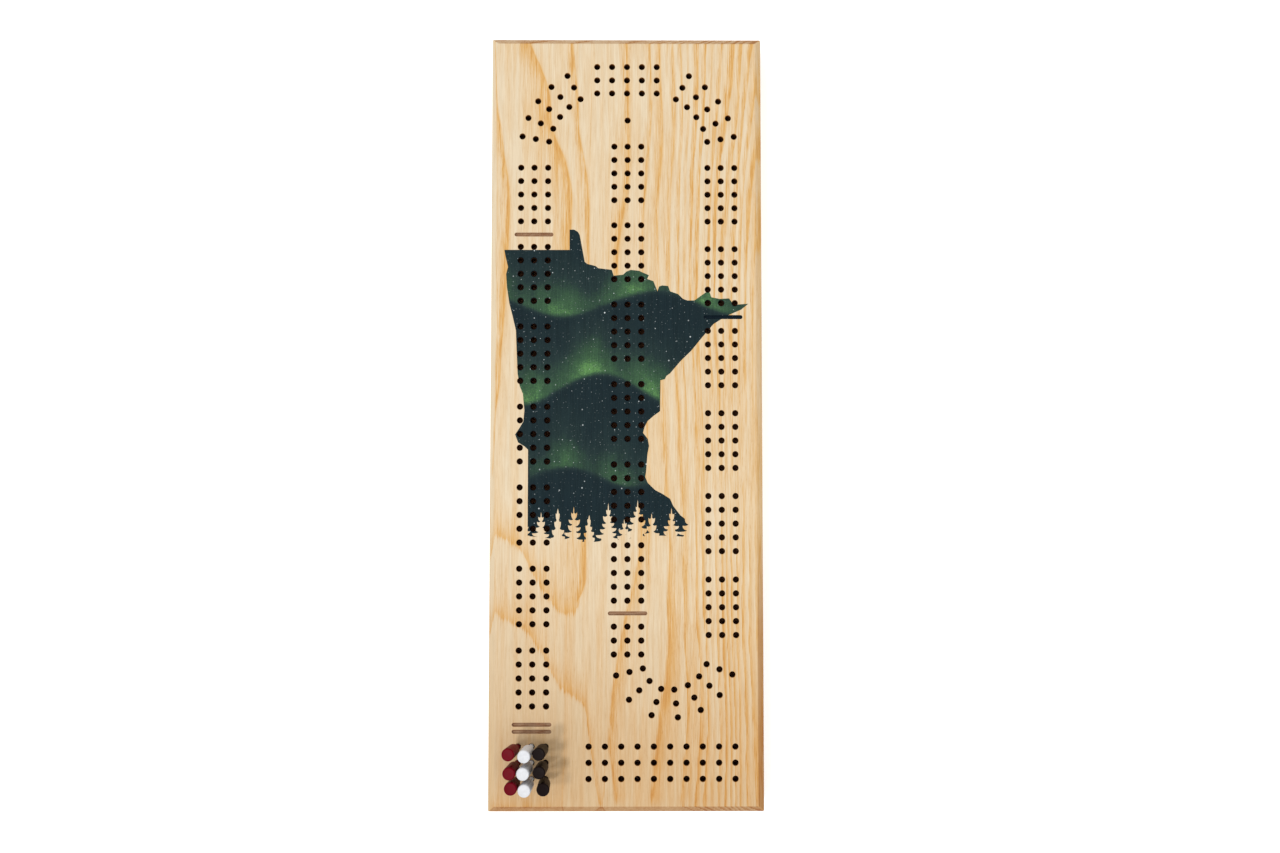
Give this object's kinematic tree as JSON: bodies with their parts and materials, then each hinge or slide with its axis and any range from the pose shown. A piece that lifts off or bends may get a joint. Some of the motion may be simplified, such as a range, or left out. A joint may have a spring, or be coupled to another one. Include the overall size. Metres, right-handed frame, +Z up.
{
  "type": "cribbage board",
  "caption": "Cribbage board: bevelled hardwood slab drilled for three lanes, with a printed night-sky panel, loose plastic pegs and a swivel-covered peg store underneath.",
  "frame": {"origin": "on the surface the board stands on, below the middle of the slab", "axes": "+Z up, +Y along the board from the start end to the finish end, +X to the right"},
  "size_m": [0.1396, 0.3968, 0.0477],
  "materials": {
    "hardwood": "pale ash-like hardwood, clear satin finish",
    "printed_ink": "flat printed ink, satin: night sky with green northern lights",
    "foot_rubber": "moulded rubber, matte",
    "brass": "satin brass plate",
    "red_plastic": "moulded plastic, gloss",
    "white_plastic": "moulded plastic, gloss",
    "black_plastic": "moulded plastic, gloss"
  },
  "bodies": {
    "board": {"board": "hardwood", "foot_front_left": "foot_rubber", "foot_front_right": "foot_rubber", "foot_back_left": "foot_rubber", "foot_back_right": "foot_rubber", "cover_pivot_screw": "brass", "cover_catch_screw": "brass"},
    "storage_cover": {"storage_cover": "brass"},
    "peg_red_1": {"peg_red_1": "red_plastic"},
    "peg_red_2": {"peg_red_2": "red_plastic"},
    "peg_red_3": {"peg_red_3": "red_plastic"},
    "peg_white_1": {"peg_white_1": "white_plastic"},
    "peg_white_2": {"peg_white_2": "white_plastic"},
    "peg_white_3": {"peg_white_3": "white_plastic"},
    "peg_black_1": {"peg_black_1": "black_plastic"},
    "peg_black_2": {"peg_black_2": "black_plastic"},
    "peg_black_3": {"peg_black_3": "black_plastic"}
  },
  "joints": [
    {"name": "storage_cover_swivel", "type": "hinge", "parent": "board", "child": "storage_cover", "pos_m": [0, -0.036, 0.003], "axis": [0, 0, 1], "range_deg": [0, 180]},
    {"name": "peg_red_1_lift", "type": "slide", "parent": "board", "child": "peg_red_1", "axis": [-0.0966, 0.0394, 0.9945], "range_m": [0, 0.02]},
    {"name": "peg_red_2_lift", "type": "slide", "parent": "board", "child": "peg_red_2", "axis": [-0.0782, 0, 0.9969], "range_m": [0, 0.02]},
    {"name": "peg_red_3_lift", "type": "slide", "parent": "board", "child": "peg_red_3", "axis": [-0.0481, 0.0305, 0.9984], "range_m": [0, 0.02]},
    {"name": "peg_white_1_lift", "type": "slide", "parent": "board", "child": "peg_white_1", "axis": [-0.0657, 0.0054, 0.9978], "range_m": [0, 0.02]},
    {"name": "peg_white_2_lift", "type": "slide", "parent": "board", "child": "peg_white_2", "axis": [-0.0842, -0.0072, 0.9964], "range_m": [0, 0.02]},
    {"name": "peg_white_3_lift", "type": "slide", "parent": "board", "child": "peg_white_3", "axis": [-0.0575, -0.0054, 0.9983], "range_m": [0, 0.02]},
    {"name": "peg_black_1_lift", "type": "slide", "parent": "board", "child": "peg_black_1", "axis": [-0.0585, 0.0481, 0.9971], "range_m": [0, 0.02]},
    {"name": "peg_black_2_lift", "type": "slide", "parent": "board", "child": "peg_black_2", "axis": [-0.0517, 0.0194, 0.9985], "range_m": [0, 0.02]},
    {"name": "peg_black_3_lift", "type": "slide", "parent": "board", "child": "peg_black_3", "axis": [0.0212, 0.0162, 0.9996], "range_m": [0, 0.02]}
  ]
}
